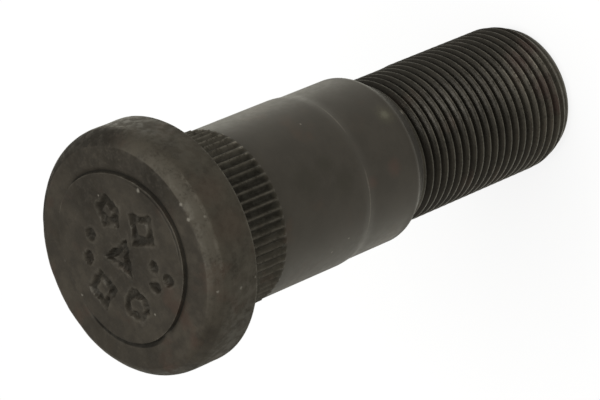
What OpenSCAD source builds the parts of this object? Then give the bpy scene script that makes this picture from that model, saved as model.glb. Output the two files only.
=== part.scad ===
// Press-in wheel bolt with a round forged head, a knurled collar, a stepped shank and a fine thread.
// It stands on its threaded end. Z = 0 is the end face of the thread and +Z points to the head.

/* [Overall] */
// Length from the thread's end face to the face of the head
bolt_l = 80; // [76:1:100]

/* [Head] */
// Outside diameter of the round head
head_d = 35; // [31:0.5:44]
// Thickness of the head at its side
head_h = 8.1; // [6.5:0.1:12]
// Radius of the forged round on the outer rim
rim_r = 3.6; // [3.4:0.1:4.5]
// Height over which the rim round runs down the side
rim_drop = 3.2; // [2.4:0.1:3.3]
// Break on the back edge of the head
back_edge = 0.15; // [0.1:0.05:0.8]
// Diameter of the die pad in the middle of the head face
pad_d = 23.6; // [16:0.2:25]
// Height of the die pad, counted down from the face of the head
pad_rise = 0.3; // [0.1:0.05:0.6]
// Width of the groove that the die's edge leaves round the pad
ring_w = 0.7; // [0.4:0.1:1]
// Depth of that groove below the flat of the head
ring_depth = 0.35; // [0.1:0.05:0.6]
// Radius under the head, where it meets the neck
seat_fillet = 0.7; // [0.3:0.1:0.8]

/* [Knurl] */
// Diameter over the tips of the knurl teeth
knurl_d = 25.15; // [25:0.05:26.4]
// Number of teeth round the collar
knurl_teeth = 62; // [40:1:76]
// Depth of a tooth from its tip to the bottom of its groove
tooth_depth = 0.46; // [0.3:0.02:0.6]
// Share of the tooth pitch that the flat of the tip takes
tip_share = 0.2; // [0.1:0.05:0.4]
// Length of the knurl
knurl_l = 9.8; // [6:0.2:12]
// Plain neck between the head and the knurl
neck_l = 0.8; // [0.8:0.1:1.5]
// Depth of the neck below the bottoms of the tooth grooves
neck_depth = 0.15; // [0.05:0.05:0.4]
// Chamfer on both ends of the teeth
tooth_chamfer = 0.2; // [0.1:0.05:0.3]

/* [Shank] */
// Diameter of the upper shank, which centres the bolt in its bore
shank_d = 24.8; // [24.4:0.05:24.9]
// Length of the upper shank
shank_l = 16.6; // [8:0.2:18]
// Diameter of the lower shank
relief_d = 24.35; // [23:0.05:24.39]
// Length of the lower shank down to its taper
relief_l = 10.1; // [5:0.1:11]
// Length of the taper between the lower shank and the thread
taper_l = 2.6; // [1.6:0.1:3]
// Round on the corner where the taper starts
shoulder_r = 0.6; // [0.2:0.1:1]

/* [Thread] */
// Outside diameter over the thread crests
thread_d = 21.6; // [21.4:0.05:22]
// Distance from one crest to the next
thread_pitch = 1.5; // [1:0.25:2]
// Diameter of the blank between the taper and the thread
blank_d = 21; // [20.6:0.1:21.2]
// Diameter of the flat on the thread's end
end_d = 19.2; // [17:0.1:19.6]
// Height of the chamfer on the thread's end
end_chamfer = 2.6; // [1:0.1:3.5]

/* [Hidden] */

circle_facets = 128;

// Heights, counted up from the thread's end face
seat_z = bolt_l - head_h;
face_z = bolt_l - pad_rise;
knurl_top = seat_z - neck_l;
knurl_bottom = knurl_top - knurl_l;
step_z = knurl_bottom - shank_l;
shoulder_z = step_z - relief_l;
blank_z = shoulder_z - taper_l;

// Radii of the revolved body
head_r = head_d / 2;
pad_r = pad_d / 2;
neck_r = knurl_d / 2 - tooth_depth - neck_depth;
shank_r = shank_d / 2;
relief_r = relief_d / 2;
blank_r = blank_d / 2;

// Radius at which the rim round meets the flat of the head
rim_edge_r = head_r - rim_r + sqrt(rim_r * rim_r - rim_drop * rim_drop);

// Angle of the taper from the axis, and the length of the tangents to the round on its corner
taper_angle = atan2(relief_r - blank_r, taper_l);
shoulder_cut = shoulder_r * tan(taper_angle / 2);

// Thread form: 60 degrees between the flanks, with the crest and the root as equal narrow flats
crest_r = thread_d / 2;
depth_share = 0.58;
flank_angle = 30;
thread_depth = depth_share * thread_pitch;
root_r = crest_r - thread_depth;
flank_w = thread_depth * tan(flank_angle);
crest_w = (thread_pitch - 2 * flank_w) / 2;
form_z = [0, flank_w, flank_w + crest_w, 2 * flank_w + crest_w];
form_share = [0, 1, 1, 0];

// The thread fades into the blank over one turn, and its top runs on just inside the blank
fade_l = thread_pitch;
hidden_l = 1;
sunk_depth = 0.08;
sunk_r = blank_r - sunk_depth;
thread_top = blank_z + hidden_l;

// Points of the thread: steps round a turn, and a column of points up each step. The spare
// turns lie flat in the two end faces, so that the last column can join the first one turn up
turn_steps = 36;
spare_turns = 3;
turns = ceil(thread_top / thread_pitch) + spare_turns;
column = 4 * turns;

// Radius of the thread at a height, for a share of its depth: 0 at the root and 1 at the crest
function fade(z) = min(1, max(0, (z - blank_z + fade_l) / fade_l));
function chamfer_r(z) = end_d / 2 + z * (crest_r - end_d / 2) / end_chamfer;
function thread_r(z, share) =
    min(chamfer_r(z), (1 - fade(z)) * (root_r + share * thread_depth) + fade(z) * sunk_r);

// Height of one point of the helix: step is counted round the bolt, i up its side
function thread_z(step, i) =
    min(thread_top, max(0, thread_pitch * (floor(i / 4) - 1 + step / turn_steps) + form_z[i % 4]));

function thread_point(step, i) =
    let (z = thread_z(step, i), r = thread_r(z, form_share[i % 4]), a = 360 * step / turn_steps)
    [r * cos(a), r * sin(a), z];

// Index of a point. A full turn brings a point to the same place one pitch higher in the first column
function index(step, i) = step < turn_steps ? step * column + i : min(i + 4, column - 1);

module thread() {
    points = [for (step = [0 : turn_steps - 1], i = [0 : column - 1]) thread_point(step, i)];
    lower = [for (step = [0 : turn_steps - 1], i = [0 : column - 2])
        [index(step, i), index(step, i + 1), index(step + 1, i)]];
    upper = [for (step = [0 : turn_steps - 1], i = [0 : column - 2])
        [index(step + 1, i), index(step, i + 1), index(step + 1, i + 1)]];
    end_face = [for (step = [0 : turn_steps - 1]) index(step, 0)];
    top_face = [for (step = [turn_steps - 1 : -1 : 0]) index(step, column - 1)];
    polyhedron(points = points, faces = concat(lower, upper, [end_face], [top_face]), convexity = 10);
}

// Half section of everything above the thread, with the knurl's core at its neck radius
module body_section() {
    polygon([
        [0, blank_z],
        [blank_r, blank_z],
        [relief_r - shoulder_cut * sin(taper_angle), shoulder_z - shoulder_cut * cos(taper_angle)],
        [relief_r, shoulder_z + shoulder_cut],
        [relief_r, step_z],
        [shank_r, step_z],
        [shank_r, knurl_bottom],
        [neck_r, knurl_bottom],
        [neck_r, seat_z],
        [head_r - back_edge, seat_z],
        [head_r, seat_z + back_edge],
        [head_r, face_z - rim_drop],
        [rim_edge_r, face_z],
        [pad_r, face_z],
        [pad_r, bolt_l],
        [0, bolt_l]
    ]);
}

module shoulder_round() {
    translate([relief_r - shoulder_r, shoulder_z + shoulder_cut])
        circle(r = shoulder_r, $fn = circle_facets);
}

module rim_round() {
    intersection() {
        translate([head_r - rim_r, face_z - rim_drop])
            circle(r = rim_r, $fn = circle_facets);
        translate([head_r - rim_r, face_z - rim_drop])
            square([rim_r, rim_drop]);
    }
}

module die_ring() {
    translate([pad_r, face_z - ring_depth])
        square([ring_w, 2 * ring_depth]);
}

module seat_round() {
    difference() {
        translate([neck_r, seat_z - seat_fillet])
            square(seat_fillet);
        translate([neck_r + seat_fillet, seat_z - seat_fillet])
            circle(r = seat_fillet, $fn = circle_facets);
    }
}

module revolved_body() {
    rotate_extrude($fn = circle_facets)
        difference() {
            union() {
                body_section();
                shoulder_round();
                rim_round();
                seat_round();
            }
            die_ring();
        }
}

// Straight teeth pressed along the collar, chamfered where they run in and out
module knurl() {
    tip_r = knurl_d / 2;
    groove_r = tip_r - tooth_depth;
    pitch_angle = 360 / knurl_teeth;
    tip_angle = pitch_angle * tip_share / 2;
    intersection() {
        translate([0, 0, knurl_bottom])
            linear_extrude(height = knurl_l)
                polygon([for (tooth = [0 : knurl_teeth - 1], side = [-1, 1, 2])
                    let (a = tooth * pitch_angle + (side == 2 ? pitch_angle / 2 : side * tip_angle),
                         r = side == 2 ? groove_r : tip_r)
                    [r * cos(a), r * sin(a)]]);
        rotate_extrude($fn = circle_facets)
            polygon([
                [0, knurl_bottom],
                [tip_r - tooth_chamfer, knurl_bottom],
                [tip_r, knurl_bottom + tooth_chamfer],
                [tip_r, knurl_top - tooth_chamfer],
                [tip_r - tooth_chamfer, knurl_top],
                [0, knurl_top]
            ]);
    }
}

module wheel_bolt() {
    color([0.23, 0.215, 0.195])
        union() {
            revolved_body();
            knurl();
            thread();
        }
}

wheel_bolt();
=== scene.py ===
from math import cos, degrees, pi, radians, sin, sqrt, tan

import bmesh
import bpy
import numpy as np
from mathutils import Matrix, Vector, noise


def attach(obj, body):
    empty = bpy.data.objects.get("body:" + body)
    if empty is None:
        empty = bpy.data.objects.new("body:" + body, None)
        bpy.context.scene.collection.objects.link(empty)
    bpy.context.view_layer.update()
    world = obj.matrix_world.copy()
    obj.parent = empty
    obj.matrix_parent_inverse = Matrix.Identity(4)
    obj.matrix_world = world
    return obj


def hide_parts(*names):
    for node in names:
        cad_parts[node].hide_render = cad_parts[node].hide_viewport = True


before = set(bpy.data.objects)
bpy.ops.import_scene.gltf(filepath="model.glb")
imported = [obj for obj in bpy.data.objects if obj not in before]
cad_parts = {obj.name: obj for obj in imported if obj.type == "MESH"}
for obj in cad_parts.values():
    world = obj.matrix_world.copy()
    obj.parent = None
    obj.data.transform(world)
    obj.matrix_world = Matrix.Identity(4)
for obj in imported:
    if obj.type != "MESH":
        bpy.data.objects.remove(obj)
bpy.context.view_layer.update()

# Camera: a long lens looks down on the head at about 41 degrees. It is rolled, so that the
# standing bolt lies across the picture with its head at the lower left.

mm = 0.001
lens_place = Vector((0, -433.98, 427.09)) * mm
lens_aim = Vector((-2.02, 0, 46.96)) * mm
lens_roll = radians(112.92)
lens_length = 250.36
sensor_width = 36
nearest_seen = 10 * mm

camera = bpy.data.objects.new("camera", bpy.data.cameras.new("camera"))
bpy.context.collection.objects.link(camera)
camera.data.lens = lens_length
camera.data.sensor_width = sensor_width
camera.data.clip_start = nearest_seen
look = (lens_aim - lens_place).to_track_quat("-Z", "Y").to_matrix().to_4x4()
camera.matrix_world = Matrix.Translation(lens_place) @ look @ Matrix.Rotation(-lens_roll, 4, "Z")
bpy.context.scene.camera = camera
bpy.context.scene.view_settings.view_transform = "Standard"

# Floor: a wide sheet of matt white paper, on which the bolt stands on its threaded end. It shows
# white to the lens and keeps a faint share of the bolt's shadow.

floor_size = 6
paper = (0.85, 0.85, 0.84, 1)
white = (1, 1, 1, 1)
glow_to_lens = 0.86

# The paper lies a hair below the bolt's end face, so that the two never share a plane
floor_drop = 0.01 * mm

# In the bolt's gloss the paper is a warm white. Behind the bolt it is brighter on the +X side and
# dimmer on the other, in full from this share of x to y and this far behind the axis, in metres.
# The last value keeps that share from a division by zero
warm_white = (1, 0.975, 0.86)
gloss_swing = 0.46
full_aside = 0.75
full_behind = 0.06
off_zero = 0.01


class Wire:
    """A socket in a node tree. Maths on it adds Math nodes, and mix() blends two colours."""

    def __init__(self, tree, socket=None):
        self.tree = tree
        self.socket = socket

    def node(self, kind, settings=None, links=None, out=0):
        """A node of this type. Its settings come first, then values or wires for its sockets."""
        made = self.tree.nodes.new(kind)
        for name, value in (settings or {}).items():
            setattr(made, name, value)
        for name, value in (links or {}).items():
            if isinstance(value, Wire):
                self.tree.links.new(value.socket, made.inputs[name])
            else:
                made.inputs[name].default_value = value
        return Wire(self.tree, made.outputs[out])

    def maths(self, operation, first, second):
        return self.node("ShaderNodeMath", {"operation": operation}, {0: first, 1: second})

    def __add__(self, other):
        return self.maths("ADD", self, other)

    def __radd__(self, other):
        return self.maths("ADD", other, self)

    def __sub__(self, other):
        return self.maths("SUBTRACT", self, other)

    def __rsub__(self, other):
        return self.maths("SUBTRACT", other, self)

    def __mul__(self, other):
        return self.maths("MULTIPLY", self, other)

    def __rmul__(self, other):
        return self.maths("MULTIPLY", other, self)

    def __truediv__(self, other):
        return self.maths("DIVIDE", self, other)

    def __rtruediv__(self, other):
        return self.maths("DIVIDE", other, self)

    def rise(self, low, high):
        """0 below low, 1 above high, and a smooth step between them."""
        return self.node("ShaderNodeMapRange", {"interpolation_type": "SMOOTHSTEP"},
                         {"Value": self, "From Min": low, "From Max": high})

    def mix(self, colour_at_0, colour_at_1):
        """The first colour where this value is 0 and the second where it is 1."""
        return self.node("ShaderNodeMix", {"data_type": "RGBA"},
                         {0: self, 6: colour_at_0, 7: colour_at_1}, out=2)

    def surface(self, output="ShaderNodeOutputMaterial"):
        end = self.tree.nodes.new(output)
        self.tree.links.new(self.socket, end.inputs["Surface"])


def new_material(name):
    """An empty node material, and a wire to start its nodes from."""
    material = bpy.data.materials.new(name)
    material.use_nodes = True
    material.node_tree.nodes.clear()
    return material, Wire(material.node_tree)


bpy.ops.mesh.primitive_plane_add(size=floor_size)
floor = bpy.context.object
floor.name = "floor"
floor.location.z = -floor_drop
white_paper, start = new_material("white_paper")
to_lens = start.node("ShaderNodeLightPath", out="Is Camera Ray")
to_gloss = start.node("ShaderNodeLightPath", out="Is Glossy Ray")
to_glass = start.node("ShaderNodeLightPath", out="Is Transmission Ray")
place = start.node("ShaderNodeTexCoord", out="Object")
x = start.node("ShaderNodeSeparateXYZ", {}, {"Vector": place}, out="X")
y = start.node("ShaderNodeSeparateXYZ", {}, {"Vector": place}, out="Y")
aside = (x / (y + off_zero)).rise(-full_aside, full_aside)
bright_share = (aside - 0.5) * y.rise(0, full_behind) + 0.5
dim_paper = (*(tone * (1 - gloss_swing) for tone in warm_white), 1)
bright_paper = (*(tone * (1 + gloss_swing) for tone in warm_white), 1)
paper_in_gloss = bright_share.mix(dim_paper, bright_paper)
lit_paper = start.node("ShaderNodeBsdfDiffuse", {}, {"Color": paper})
glow = start.node("ShaderNodeEmission", {}, {"Color": to_gloss.mix(white, paper_in_gloss),
                                             "Strength": 1})
start.node("ShaderNodeMixShader", {}, {0: to_lens * glow_to_lens + to_gloss + to_glass,
                                       1: lit_paper, 2: glow}).surface()
floor.data.materials.append(white_paper)

# Light: a dim even room, and one large soft lamp over the head, a little to the side that is up
# in the picture. The rest of the light comes back from the white floor.

room_strength = 0.45
room_tone = (1, 0.985, 0.94, 1)
lamp_way = Vector((0.16, -0.17, 0.97)).normalized()
lamp_distance = 0.9
lamp_size = 0.55
lamp_watts = 9

world = bpy.data.worlds.new("dim_room")
bpy.context.scene.world = world
world.use_nodes = True
world.node_tree.nodes.clear()
room = Wire(world.node_tree).node("ShaderNodeBackground", {},
                                  {"Color": room_tone, "Strength": room_strength})
room.surface("ShaderNodeOutputWorld")

lamp = bpy.data.objects.new("soft_lamp", bpy.data.lights.new("soft_lamp", "AREA"))
bpy.context.collection.objects.link(lamp)
lamp.data.size = lamp_size
lamp.data.energy = lamp_watts
lamp.location = lens_aim + lamp_way * lamp_distance
lamp.rotation_euler = (-lamp_way).to_track_quat("-Z", "Y").to_euler()

# Wheel bolt: one piece of carbon steel, blackened all over. The head is hot forged and keeps its
# scale, the shank is turned, and the knurl and the thread are rolled into it. The knurl is pressed
# into the wheel hub and holds the bolt, and the wheel nut runs on the thread.

# Sizes in mm, as in the solid but for a softer round on the shoulder and worn thread crests
bolt_l = 80
head_r = 17.5
head_h = 8.1
rim_r = 3.6
rim_drop = 3.2
back_edge = 0.15
pad_r = 11.8
pad_rise = 0.3
groove_w = 0.7
groove_depth = 0.35
seat_fillet = 0.7
tip_r = 25.15 / 2
tooth_count = 62
tooth_depth = 0.46
knurl_l = 9.8
neck_l = 0.8
neck_depth = 0.15
tooth_chamfer = 0.2
shank_r = 24.8 / 2
shank_l = 16.6
relief_r = 24.35 / 2
relief_l = 10.1
taper_l = 2.6
shoulder_r = 1.5
thread_wear = 0.05
crest_r = 21.6 / 2 - thread_wear
pitch = 1.5
thread_depth = 0.58 * pitch - thread_wear
blank_r = 21 / 2
end_r = 19.2 / 2

# Heights from the thread's end face, and what follows from the sizes
seat_z = bolt_l - head_h
face_z = bolt_l - pad_rise
knurl_top = seat_z - neck_l
knurl_bottom = knurl_top - knurl_l
step_z = knurl_bottom - shank_l
shoulder_z = step_z - relief_l
blank_z = shoulder_z - taper_l
neck_r = tip_r - tooth_depth - neck_depth
side_top = face_z - rim_drop
rim_edge_r = head_r - rim_r + sqrt(rim_r ** 2 - rim_drop ** 2)
groove_z = face_z - groove_depth

# The bolt is one closed mesh of rings, from the middle of the head down to the middle of the
# thread's end. In the thread the rings turn into a helix. A ring has five points to each tooth
# of the knurl: its narrow crest, the flank, two on the wide root and the next flank
tooth_form = [1, 0.55, 0, 0, 0.55]
steps = tooth_count * len(tooth_form)
turn = 2 * pi * np.arange(steps) / steps
FORGED, KNURLED, TURNED, ROLLED = range(4)
rings = []

# Turn of each column from the lens: minus is the side that is up in the picture
lens_turn = np.degrees(np.arctan2(-np.cos(turn), -np.sin(turn)))

# Noise for wear and forging: how fast its layers fade, how much finer each is, and their number.
# Round the bolt it is read on a circle of this radius in mm
noise_layers = (1, 2, 3)
noise_r = 15


def between(start, end, soft=12):
    """1 between two turns from the lens, in degrees, and 0 outside, with soft ends."""
    rise = np.clip((lens_turn - start) / soft + 0.5, 0, 1)
    return rise * np.clip((end - lens_turn) / soft + 0.5, 0, 1)


def ragged(size, seed):
    """A value from 0 to 1 for each column, in lumps of about the given size in mm."""
    spots = [Vector((cos(angle), sin(angle), seed)) * (noise_r / size) for angle in turn]
    return np.array([np.clip(0.5 + noise.fractal(spot, *noise_layers), 0, 1) for spot in spots])


def smooth_step(share):
    """A share from 0 to 1, eased at both ends."""
    return share * share * (3 - 2 * share)


def add_ring(radius, height, finish, unshaded=1.0, edge=0.0):
    """One ring of points. Each value is one number, or one for every step round the bolt.

    Of the last two values, the first is 0 where shade is painted darkest, at the bottom of a groove,
    and 1 on the open surface. The second is 1 on a sharp corner, where it paints wear, and on some
    crests it paints a highlight.
    """
    rings.append([np.broadcast_to(np.asarray(value, float), steps)
                  for value in (radius, height, unshaded, edge, finish)])


def add_arc(centre_r, centre_z, radius, start_angle, end_angle, count, finish):
    """Rings along an arc of the section. The angles are in degrees, up from the level."""
    for angle in np.linspace(radians(start_angle), radians(end_angle), num=count):
        add_ring(centre_r + radius * cos(angle), centre_z + radius * sin(angle), finish)


# Head: the die pad, the groove that the die's edge left round it, the flat, the forged rim, the
# side and the seat. The rings lie closer by the pad's edge, where a fine line runs
ring_gap = 0.2
fine_gap = 0.12
fine_from = 10.8
for radius in np.arange(0.3, fine_from, ring_gap):
    add_ring(radius, bolt_l, FORGED)
for radius in np.arange(fine_from, pad_r - 0.14, fine_gap):
    add_ring(radius, bolt_l, FORGED)

# The pad's edge is worn for part of its round. The groove is painted with shade, and on one side its
# outer wall is black with painted shade
pad_wear = 0.5 * ragged(2.5, 3) * between(-140, 95)
shaded_wall = between(90, 155)
add_ring(pad_r - 0.08, bolt_l - 0.02, FORGED, 1, pad_wear)
add_ring(pad_r, bolt_l - 0.1, FORGED, 0.8, pad_wear)
add_ring(pad_r + 0.06, groove_z + 0.15, FORGED, 0.35)
add_ring(pad_r + 0.18, groove_z, FORGED, 0)
add_ring(pad_r + 0.36, groove_z + 0.14, FORGED, 0.55 - 0.55 * shaded_wall)
add_ring(pad_r + groove_w - 0.06, face_z - 0.08, FORGED, 0.8 - 0.7 * shaded_wall)
for radius in np.linspace(pad_r + groove_w + 0.1, rim_edge_r - 0.35, num=7):
    add_ring(radius, face_z, FORGED)

# The corner between the flat and the rim's round is broken: distance past it, and drop. The round
# starts so many degrees below it
corner_break = ((-0.2, 0.015), (-0.05, 0.045), (0.1, 0.095))
corner_angle = 5.5
for beyond, drop in corner_break:
    add_ring(rim_edge_r + beyond, face_z - drop, FORGED)
rim_start = degrees(np.arctan2(rim_drop, rim_edge_r - head_r + rim_r)) - corner_angle
add_arc(head_r - rim_r, side_top, rim_r, rim_start, 0, 16, FORGED)
for height in np.linspace(side_top - 0.45, seat_z + back_edge + 0.25, num=9):
    add_ring(head_r, height, FORGED)
back_wear = 0.35 + 0.65 * ragged(4, 7)
add_ring(head_r, seat_z + back_edge, FORGED, 1, back_wear)
add_ring(head_r - back_edge, seat_z, FORGED, 1, back_wear)
for radius in np.linspace(head_r - back_edge - 0.2, neck_r + seat_fillet, num=4):
    add_ring(radius, seat_z, TURNED)
add_arc(neck_r + seat_fillet, seat_z - seat_fillet, seat_fillet, 110, 180, 5, TURNED)

# Knurl: straight teeth, with painted shade black between them in front and fainter round the
# sides. They start over a short chamfer and run out into the shank, and the ends of some crests
# are rubbed bright
run_out_l = 0.9
chamfer_r = tip_r - tooth_chamfer
tooth = np.tile(tooth_form, tooth_count)
tooth_r = tip_r - tooth_depth * (1 - tooth)
tooth_unshaded = np.clip(tooth ** 2 + 0.6 * (1 - between(-30, 20, 30)), 0, 1)
crest = (tooth == 1) * 1.0
# The crests' wear also carries a painted highlight, strongest on the side that is up in the picture
crest_wear_and_shine = crest * (0.3 + 0.3 * ragged(3, 11)) * (1 + 1.6 * between(-100, -30, 30))
bright_end = crest * between(-78, -28) * (ragged(1.2, 17) > 0.35)
add_ring(neck_r, knurl_top + 0.02, KNURLED, 0)
add_ring(np.minimum(tooth_r, chamfer_r), knurl_top, KNURLED, tooth_unshaded)
for height in np.linspace(knurl_top - tooth_chamfer, knurl_bottom + run_out_l, num=11):
    add_ring(tooth_r, height, KNURLED, tooth_unshaded, crest_wear_and_shine)
for share in (0.3, 0.6, 0.85):
    ends_r = tooth_r + share * np.maximum(shank_r - tooth_r, 0)
    add_ring(ends_r, knurl_bottom + run_out_l * (1 - share), KNURLED,
             np.maximum(tooth_unshaded, 0.8 * share), np.maximum(crest_wear_and_shine, 3 * bright_end))
add_ring(np.clip(tooth_r, shank_r - 0.03, chamfer_r + 0.05), knurl_bottom + 0.03, KNURLED, 1,
         np.maximum(0.25 * crest, 2 * bright_end))

# Shank: two turned diameters, and the taper down to the thread's blank. The fine step between the
# diameters is eased, and on two stretches of it a thin raised line is rubbed bright
step_ease = 1.3
step_rows = (step_ease, 0.9, 0.5, 0.2, 0.1, 0, -0.1, -0.2, -0.5, -0.9, -step_ease)
line_rise = 0.01
line_w = 0.15
step_wear = (between(-46, -22) + between(10, 56)) * (0.4 + 0.6 * ragged(2, 23))
add_ring(shank_r - 0.02, knurl_bottom, TURNED)
for height in np.linspace(knurl_bottom - 0.2, step_z + 2, num=11):
    add_ring(shank_r, height, TURNED)
for above in step_rows:
    share = smooth_step(0.5 + above / (2 * step_ease))
    add_ring(relief_r + share * (shank_r - relief_r) + line_rise * step_wear * (above == 0),
             step_z + above, TURNED, 1, step_wear * max(0, 1 - abs(above) / line_w))
taper_angle = np.arctan2(relief_r - blank_r, taper_l)
shoulder_cut = shoulder_r * tan(taper_angle / 2)
for height in np.linspace(step_z - 2, shoulder_z + shoulder_cut + 0.1, num=8):
    add_ring(relief_r, height, TURNED)
add_arc(relief_r - shoulder_r, shoulder_z + shoulder_cut, shoulder_r, 0, -degrees(taper_angle), 6,
        TURNED)
for share in (0.25, 0.5, 0.75, 0.95):
    add_ring(relief_r + share * (blank_r - relief_r), shoulder_z - share * taper_l, TURNED,
             1 - 0.5 * share)

# Thread: six points up each pitch, from the root over the crest, that climb as they go round.
# It fades into the blank over most of its last turn, and a round chamfer cuts it at the free end
fade_l = 0.75 * pitch
nose_l = 3.6
nose_curve = 1.6
form_height = pitch * np.array([0, 0.29, 0.35, 0.48, 0.54, 0.83])
form_share = np.array([0, 0.9, 1, 1, 0.9, 0])
form_points = len(form_height)
turns = int(np.ceil(blank_z / pitch)) + 3
row = np.arange(turns * form_points)[:, None]
climb = pitch * (row // form_points - 1 + np.arange(steps) / steps)
thread_z = np.clip(climb + form_height[row % form_points], 0, blank_z)
fade = np.clip((thread_z - blank_z + fade_l) / fade_l, 0, 1)
share = form_share[row % form_points] + 0 * thread_z

# The first turns beside the taper are worn lower on one side: how much, from where and over what
worn_low = 0.12
worn_from = 21.5
worn_over = 2
worn_by = worn_low * np.clip((thread_z - worn_from) / worn_over, 0, 1) * (0.5 + 0.5 * np.cos(turn))
thread_r = (1 - fade) * (crest_r - worn_by - thread_depth * (1 - share)) + fade * blank_r
nose = 1 - (1 - np.clip(thread_z / nose_l, 0, 1)) ** nose_curve
thread_r = np.minimum(thread_r, end_r + nose * (crest_r - end_r))

# Painted highlight: the crests are brighter in front and on the side that is down in the picture,
# and most of all in front by the free end
shine = 0.35 + 0.65 * between(-40, 15, 40) + 0.35 * between(35, 100, 30)
shine = shine + 2.2 * between(-28, 2, 20) * np.clip(1.5 - thread_z / 10, 0, 1)
crest_highlight = (share == 1) * (1 - fade) * shine * np.clip(thread_z / 3 - 0.4, 0, 1)
# Painted shade darkens the thread's roots
thread_rows = np.stack([thread_r, thread_z, np.maximum(share, fade ** 0.5), crest_highlight,
                        np.full(thread_r.shape, ROLLED)])[:, ::-1]
first_thread = len(rings)
last_thread = first_thread + len(thread_r) - 1

# End face: flat, as cut off before the thread was rolled
end_rings = [[np.full(steps, value) for value in (end_r * share, 0, 1, 0, TURNED)]
             for share in (0.98, 0.8, 0.5, 0.2)]

# All rings from the head down. true_r and true_z are their places before wear and forging
table = np.concatenate([np.array(rings).transpose(1, 0, 2), thread_rows,
                        np.array(end_rings, float).transpose(1, 0, 2)], axis=1)
true_r, true_z, unshaded, edge, finish = table
forged = finish == FORGED
on_pad = forged & (true_z > bolt_l - 0.05)
on_face = forged & (true_z > side_top)

# Groove: the die had worn, so the ring it left wanders. It is deep over most of its round and
# nearly gone on the side that is left in the picture. A second fine line lies inside it
around = np.arctan2(np.cos(turn), -np.sin(turn))
wander = 0.13 + 0.38 * np.cos(around - radians(123)) + 0.3 * np.cos(3 * around - radians(22))
wander_w = 1.8
radius = true_r + wander * (np.exp(-((true_r - pad_r) / wander_w) ** 2) * on_face)
groove_share = 0.12 + 0.88 * between(-108, 75) + 0.88 * between(84, 160)
in_groove = on_face & (unshaded < 1)
# The groove's painted shade fades with its depth
unshaded = np.where(in_groove, 1 - (1 - unshaded) * np.clip(groove_share * 1.6, 0, 1), unshaded)
groove_floor = face_z - (face_z - true_z) * groove_share
height = np.where(in_groove & (true_z < face_z), groove_floor, true_z)
line_in = 0.45
fine_line_w = 0.13
fine_line_depth = 0.12
fine_line = np.exp(-((true_r - pad_r + line_in) / fine_line_w) ** 2) * on_pad * between(-50, 22)
fine_line *= 0.7 + 0.3 * ragged(3, 29)

# Stamps: plain outlines and dots, pressed into the pad and worn. One is in the middle and the rest
# lie in a ring. Each has a shape, its sides, its place from the middle, its size and its angle. The
# pad is seen from above, with a to the right, b up and the lens below
stamp_depth = 0.65
stamp_wall = 0.38
half_stroke = 0.44
edge_wear = 0.8
stamps = [("outline", 5, 1.0, 6.5, 1.4, 0), ("outline", 4, 6.0, 2.4, 1.55, 25),
          ("dot", 0, 5.3, -2.7, 0.75, 0), ("dot", 0, 4.1, -5.2, 0.8, 0),
          ("dot", 0, 7.1, -5.1, 0.75, 0), ("outline", 6, -1.0, -6.5, 1.65, 15),
          ("outline", 4, -6.3, -2.7, 1.45, -20), ("dot", 0, -6.5, 2.0, 0.85, 0),
          ("dot", 0, -4.3, 4.5, 0.8, 0), ("outline", 3, -0.2, 0.1, 1.1, 40)]

# The steel stands up in a low lip round each stamp
lip_rise = 0.06
lip_out = 0.35
lip_w = 0.2


def stamp_distance(a, b, kind, sides, middle_a, middle_b, size, angle):
    """Distance in mm from the edge of a stamp's stroke: below 0 inside it and above 0 outside."""
    a, b = a - middle_a, b - middle_b
    if kind == "dot":
        return np.hypot(a, b) - size
    normals = [radians(angle) + pi * (2 * k + 1) / sides for k in range(sides)]
    inside = np.max([a * cos(normal) + b * sin(normal) for normal in normals], axis=0) - size
    return np.abs(inside) - half_stroke


def lumps(spots, size, depth):
    """Noise from 0 to depth at each point, in lumps of about the given size in mm."""
    return np.array([depth * (0.5 + 0.5 * noise.fractal(Vector(spot) / size, *noise_layers))
                     for spot in spots])


spots = np.stack([radius * np.cos(turn), radius * np.sin(turn), height], axis=-1)
a, b = -spots[..., 1], spots[..., 0]

# Two more noises, read this far from the first, in mm: how deep a stamp is and how worn its edge
other_noise = 40
uneven = np.zeros(height.shape)
uneven[on_pad] = lumps(spots[on_pad] + other_noise, 1.5, 1)
worn = np.zeros(height.shape)
worn[on_pad] = lumps(spots[on_pad] - other_noise, 1.2, 1)
gap = np.min([stamp_distance(a, b, *stamp) for stamp in stamps], axis=0)
gap = gap + edge_wear * (worn - 0.45)
pressed = smooth_step(np.clip(0.5 - gap / stamp_wall, 0, 1)) * on_pad
lip = np.exp(-((gap - lip_out) / lip_w) ** 2) * on_pad

# Forging: the hot steel shrank and flaked, so the head's faces lie a little below their true form,
# and its side is lower by up to 0.12 mm towards -X. Where the waves are least the steel stays true
wave_size = 3.6
wave_depth = 0.16
wave_left_out = 0.06
wave_on_side = 0.35
flake_size = 1.4
flake_depth = 0.05
deepest = 0.3
wave = np.zeros(height.shape)
wave[forged] = lumps(spots[forged], wave_size, wave_depth) - wave_left_out
wave[on_face] += lumps(spots[on_face], flake_size, flake_depth)
wave = np.clip(wave, 0, deepest)
stamp_sink = pressed * stamp_depth * np.clip(2 * uneven - 0.2, 0.25, 1)
sink = wave + lip_rise * (1 - lip) * on_pad + stamp_sink + fine_line_depth * fine_line
side_low = 0.06 * (1 - np.cos(turn))
top_face = on_face & (height > face_z - 0.7)
height = height - np.where(top_face, sink, 0)
radius = radius - np.where(forged & ~top_face, wave * wave_on_side + side_low, 0)
# Painted shade darkens the pressed stamps and the fine line
unshaded = unshaded * (1 - pressed * np.clip(0.3 + uneven, 0, 0.7)) * (1 - fine_line)
edge = np.maximum(edge, lip * 0.45 * (1 - pressed) * worn)

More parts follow.
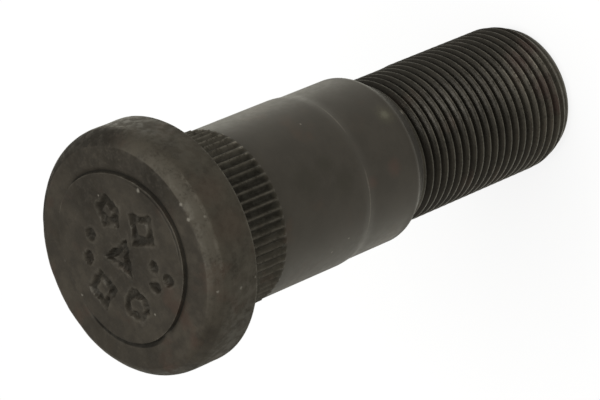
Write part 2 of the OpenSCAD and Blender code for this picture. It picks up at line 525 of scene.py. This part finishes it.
# Painted light is a paler tone. On the head it is the front of the rim, fading out at a depth below
# the face, and less so the whole side
rim_light_to = 2.3
rim_light_fade = 0.7
rim_depth = face_z - true_z
on_rim = forged & (rim_depth > 0.01) & (true_r > rim_edge_r - 0.01)
on_side = forged & (rim_depth > 2)
on_knurl = finish == KNURLED
on_thread = finish == ROLLED
painted_light = np.where(on_rim, np.clip((rim_light_to - rim_depth) / rim_light_fade, 0, 1), 0)
painted_light = painted_light * between(-50, 35, 40)
painted_light = np.maximum(painted_light, on_side * (0.3 + 0.25 * between(15, 100, 30)))

# On the thread it is the front by the free end and the side that is down in the picture, and on
# the knurl both sides
end_light_to = 16
end_light_fade = 10
near_end = on_thread * np.clip((end_light_to - height) / end_light_fade, 0, 1)
painted_light = np.maximum(painted_light, 0.9 * near_end * between(-28, 80, 20))
painted_light = np.maximum(painted_light, 0.35 * on_thread * between(20, 95, 30))
knurl_sides = between(-100, -35, 30) + 0.4 * between(30, 100, 30)
painted_light = np.maximum(painted_light, 0.9 * on_knurl * knurl_sides)

# Soot, the black scale that stayed, and painted shade darken the steel: on one side of the rim,
# beside the pad, and in clouds on the face, each with its middle to the right and up, its size and
# its strength
dark_clouds = [(-9.8, -9.3, 7, 0.55), (-1.6, 9.6, 5, 0.9), (12, 7.7, 5, 1), (-11.5, 6.5, 5, 0.5),
               (6, 13, 4, 0.9), (-3, -14, 5, 0.6), (0, 0, 9, 0.7), (12, -7, 4, 0.4)]
dark_rim_to = 2.8
dark_rim_fade = 0.8
soot_and_shade = np.where(on_rim, np.clip((dark_rim_to - rim_depth) / dark_rim_fade, 0, 1), 0) * between(-150, -62)
flat_face = on_face & (rim_depth < 0.5) & (true_r < rim_edge_r + 0.01)
round_pad = np.clip((radius - 11.5) / 1.5, 0, 1)
soot_and_shade = np.maximum(soot_and_shade, 0.7 * flat_face * round_pad * between(-110, -10))
for middle_a, middle_b, size, strength in dark_clouds:
    cloud = np.exp(-((a - middle_a) ** 2 + (b - middle_b) ** 2) / size ** 2) * flat_face
    soot_and_shade = np.maximum(soot_and_shade, strength * cloud)

# Painted shade also blackens one side of the thread and, lightly, the shoulder but for two stretches
on_shank = (finish == TURNED) & (true_z > blank_z)
on_shoulder = on_shank & (true_z < shoulder_z + 1)
soot_and_shade = soot_and_shade + 1.0 * on_thread * between(-130, -40, 30)
soot_and_shade = soot_and_shade + 0.3 * on_shoulder * (1 - between(-70, -38) - between(22, 50))

# Painted shade: the sides of the shank are darker than its front and back
shaded_shank_sides = np.clip(between(-200, -66, 30) + 1.4 * between(82, 200, 20), 0, 1)
shaded_shank_sides = shaded_shank_sides * np.clip((180 - np.abs(lens_turn)) / 70, 0, 1)
unshaded = unshaded * (1 - 0.62 * on_shank * shaded_shank_sides)

# A thin bright line is worn along the front of the rim
rim_line_depth = 1.7
rim_line_w = 0.2
rim_line = np.exp(-((rim_depth - rim_line_depth) / rim_line_w) ** 2) * on_rim * between(-25, 26)
edge = np.maximum(edge, 0.9 * rim_line * ragged(3, 37))

points = np.stack([radius * np.cos(turn), radius * np.sin(turn), height], axis=-1).reshape(-1, 3)
head_middle = len(points)
end_middle = head_middle + 1
points = np.vstack([points, [[0, 0, bolt_l - 0.1], [0, 0, 0]]]) * mm


def ring_before(i, j):
    """Ring that ring i joins at step j. One turn along the thread is one pitch higher."""
    if j < steps - 1 or i < first_thread or i >= last_thread:
        return i
    return max(i - form_points, first_thread)


faces = []
finishes = []
last_ring = len(radius) - 1
for i in range(last_ring):
    for j in range(steps):
        k = (j + 1) % steps
        faces.append((i * steps + j, (i + 1) * steps + j,
                      ring_before(i + 1, j) * steps + k, ring_before(i, j) * steps + k))
        finishes.append(int(finish[i, j]))
for j in range(steps):
    k = (j + 1) % steps
    faces += [(head_middle, j, k), (end_middle, last_ring * steps + k, last_ring * steps + j)]
    finishes += [FORGED, TURNED]

# Each point keeps four marks for the materials. The two middle points take those of plain steel
mesh = bpy.data.meshes.new("wheel_bolt_body")
mesh.from_pydata(points.tolist(), [], faces)
for name, values, plain in (("unshaded", unshaded, 1), ("edge", edge, 0), ("painted_light", painted_light, 0),
                            ("soot_and_shade", soot_and_shade, 0)):
    marks = mesh.attributes.new(name, "FLOAT", "POINT")
    marks.data.foreach_set("value", np.append(values.ravel(), [plain, plain]))
mesh.polygons.foreach_set("material_index", np.array(finishes, dtype=np.int32))
mesh.update()

same_place = 1e-8
sharp_from = radians(50)
shape = bmesh.new()
shape.from_mesh(mesh)
bmesh.ops.remove_doubles(shape, verts=shape.verts, dist=same_place)
bmesh.ops.dissolve_degenerate(shape, edges=shape.edges, dist=same_place)
bmesh.ops.recalc_face_normals(shape, faces=shape.faces)
shape.to_mesh(mesh)
shape.free()
mesh.shade_smooth()
mesh.set_sharp_from_angle(angle=sharp_from)

bolt = bpy.data.objects.new("wheel_bolt_body", mesh)
bpy.context.collection.objects.link(bolt)

# Colours that all four finishes share: rust, a paler tone for painted light, black for soot and
# painted shade, bare steel, and black for painted shade in grooves
rust_brown = (0.034, 0.018, 0.012, 1)
painted_light_steel = (0.05, 0.0445, 0.034, 1)
soot_and_shade_black = (0.006, 0.0048, 0.0035, 1)
bare_steel = (0.17, 0.155, 0.125, 1)
shade_black = (0.003, 0.0026, 0.002, 1)
warm_shine = (1, 0.94, 0.8, 1)


def blackened_steel(name, dark, light, patch, gloss_low, gloss_high, grain_size, grain_depth,
                    level, worn_edge, shade_strength, stains):
    """Phosphated steel in two blotched tones, with painted light and shade, dark in its grooves and
    paler on its worn edges and painted crest highlights.

    patch and the grain's size and depth are in mm. A stain is a turn from the lens in degrees,
    a height, a radius, a size, and a colour with its strength.
    """
    material, start = new_material(name)
    place = start.node("ShaderNodeTexCoord", out="Object")

    def speckle(size, detail):
        return start.node("ShaderNodeTexNoise", {}, {"Vector": place, "Scale": 1 / (size * mm),
                          "Detail": detail, "Roughness": 0.6})

    def mark(attribute):
        return start.node("ShaderNodeAttribute", {"attribute_name": attribute}, out="Fac")

    blotch = speckle(patch, 5)
    grain = speckle(grain_size, 4)
    fleck = speckle(grain_size * 3, 2)
    colour = (blotch * 0.7 + fleck * 0.3).rise(0.38, 0.62).mix(dark, light)
    rust = speckle(patch * 2.3, 3).rise(0.56, 0.7) * 0.5
    colour = rust.mix(colour, rust_brown)
    # Painted light: a paler tone
    pale = mark("painted_light") * (0.6 * grain + 0.4 * blotch).rise(0.3, 0.55)
    colour = (pale * 0.75).mix(colour, painted_light_steel)
    # Soot and painted shade: black
    scale_and_shade = mark("soot_and_shade") * (0.5 * grain + 0.5 * fleck).rise(0.34, 0.52)
    colour = (scale_and_shade * 0.9).mix(colour, soot_and_shade_black)
    # Worn edges and the painted highlights on crests show bare steel
    worn = mark("edge") * (0.55 * grain + 0.45 * blotch).rise(0.4, 0.56)
    colour = (worn * worn_edge).mix(colour, bare_steel)
    # Painted shade: black in the grooves and recesses
    painted_shade = 1 - mark("unshaded").rise(0, 0.85)
    colour = (painted_shade * shade_strength).mix(colour, shade_black)
    for angle, z, r, size, (red, green, blue, strength) in stains:
        middle = Vector((-sin(radians(angle)) * r, -cos(radians(angle)) * r, z)) * mm
        away = start.node("ShaderNodeVectorMath", {"operation": "DISTANCE"},
                          {0: place, 1: middle}, out="Value")
        uneven_edge = (0.4 * fleck + 0.6 * grain - 0.5) * ((0.7 + 0.8 * size) * mm)
        cover = 1 - (away + uneven_edge).rise(0.2 * size * mm, size * mm)
        colour = (cover * strength).mix(colour, (red, green, blue, 1))
    gloss = gloss_low + (gloss_high - gloss_low) * fleck.rise(0.35, 0.65)
    gloss = gloss + mark("painted_light") * 0.12 + mark("soot_and_shade") * 0.25 + painted_shade * 0.2
    bump = start.node("ShaderNodeBump", {}, {"Height": grain + 0.6 * fleck, "Strength": 1,
                      "Distance": grain_depth * mm})
    steel = start.node("ShaderNodeBsdfPrincipled", {},
                       {"Base Color": colour, "Roughness": gloss, "Normal": bump,
                        "Specular IOR Level": level, "Specular Tint": warm_shine})
    steel.surface()
    return material


# Chips show bare steel. The rest are stains of red rust and black scale, and one pale smear
flaked = (0.14, 0.13, 0.108, 0.75)
red_side = (0.033, 0.02, 0.0135, 0.5)
red_spot = (0.03, 0.015, 0.012, 0.55)
red_rust = (0.042, 0.017, 0.013, 0.5)
red_thread = (0.03, 0.012, 0.011, 0.6)
black_spot = (0.0075, 0.0065, 0.005, 0.6)
pale_smear = (0.045, 0.043, 0.026, 0.45)
pale_middle = (0.085, 0.083, 0.06, 0.6)
blank_chip = (-20.8, 32.1, blank_r, 0.5, flaked)
head_chips = [(31, 72.4, 17.4, 0.3, flaked), (33.5, 75.1, 17.4, 0.25, flaked),
              (32, 78.7, 16.7, 0.25, flaked), (-12.7, 75.6, 17.5, 3.2, red_side),
              (4.5, 75.1, 17.5, 3.8, red_side), (-13.3, 79.6, 15.6, 0.36, flaked),
              (-5, 79.6, 15.45, 0.38, flaked), (-3, 78.2, 17.1, 0.28, flaked),
              (-41.3, 79.9, 11.3, 0.46, flaked), (-167, 79.7, 12.3, 0.25, flaked),
              (167.5, 79.9, 11.4, 0.25, flaked), (-87, 79.9, 9.0, 0.22, flaked),
              (79, 79.9, 8.7, 0.2, flaked)]
knurl_stains = [(-62, 68.5, 12.5, 2.5, red_spot), (42, 70.5, 12.5, 0.8, red_spot)]
shank_stains = [(-20.9, 36.6, relief_r, 2.2, pale_smear), (-20.9, 36.6, relief_r, 1.0, pale_middle),
                (13.5, 39.1, relief_r, 1.8, red_rust), (17.6, 43.8, relief_r, 1.3, red_rust),
                (49.2, 48.6, shank_r, 0.2, flaked), (55.8, 51.4, shank_r, 0.27, flaked),
                (-37.3, 50.2, shank_r, 0.2, flaked), blank_chip,
                (-1, 55.4, shank_r, 3.4, black_spot),
                (9.5, 49, shank_r, 2.8, black_spot), (-5, 51.3, shank_r, 2.2, black_spot)]
thread_stains = [blank_chip, (2.5, 5, 10.7, 3, red_thread), (-22.9, 6.9, 10.7, 3, red_thread),
                 (-31.6, 3.1, 10.6, 2.5, red_thread), (20.8, 3.5, 10.6, 2.2, red_thread)]

# The four finishes, in the order of FORGED, KNURLED, TURNED and ROLLED
mesh.materials.append(blackened_steel(
    "forged_scale", dark=(0.015, 0.012, 0.0085, 1), light=(0.029, 0.024, 0.0172, 1), patch=2.6,
    gloss_low=0.45, gloss_high=0.68, grain_size=0.4, grain_depth=0.007, level=0.33,
    worn_edge=0.35, shade_strength=0.92, stains=head_chips))
mesh.materials.append(blackened_steel(
    "pressed_knurl", dark=(0.011, 0.009, 0.006, 1), light=(0.019, 0.0155, 0.0105, 1), patch=2.0,
    gloss_low=0.4, gloss_high=0.6, grain_size=0.35, grain_depth=0.012, level=0.3,
    worn_edge=0.5, shade_strength=0.9, stains=knurl_stains))
mesh.materials.append(blackened_steel(
    "turned_shank", dark=(0.015, 0.0125, 0.0115, 1), light=(0.021, 0.0175, 0.0155, 1), patch=4.0,
    gloss_low=0.34, gloss_high=0.39, grain_size=0.3, grain_depth=0.0015, level=0.36,
    worn_edge=0.55, shade_strength=0.9, stains=shank_stains))
mesh.materials.append(blackened_steel(
    "rolled_thread", dark=(0.005, 0.0042, 0.003, 1), light=(0.009, 0.0075, 0.0052, 1), patch=2.5,
    gloss_low=0.3, gloss_high=0.42, grain_size=0.35, grain_depth=0.008, level=0.34,
    worn_edge=0.3, shade_strength=0.2, stains=thread_stains))

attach(bolt, "root")
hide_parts("wheel_bolt")
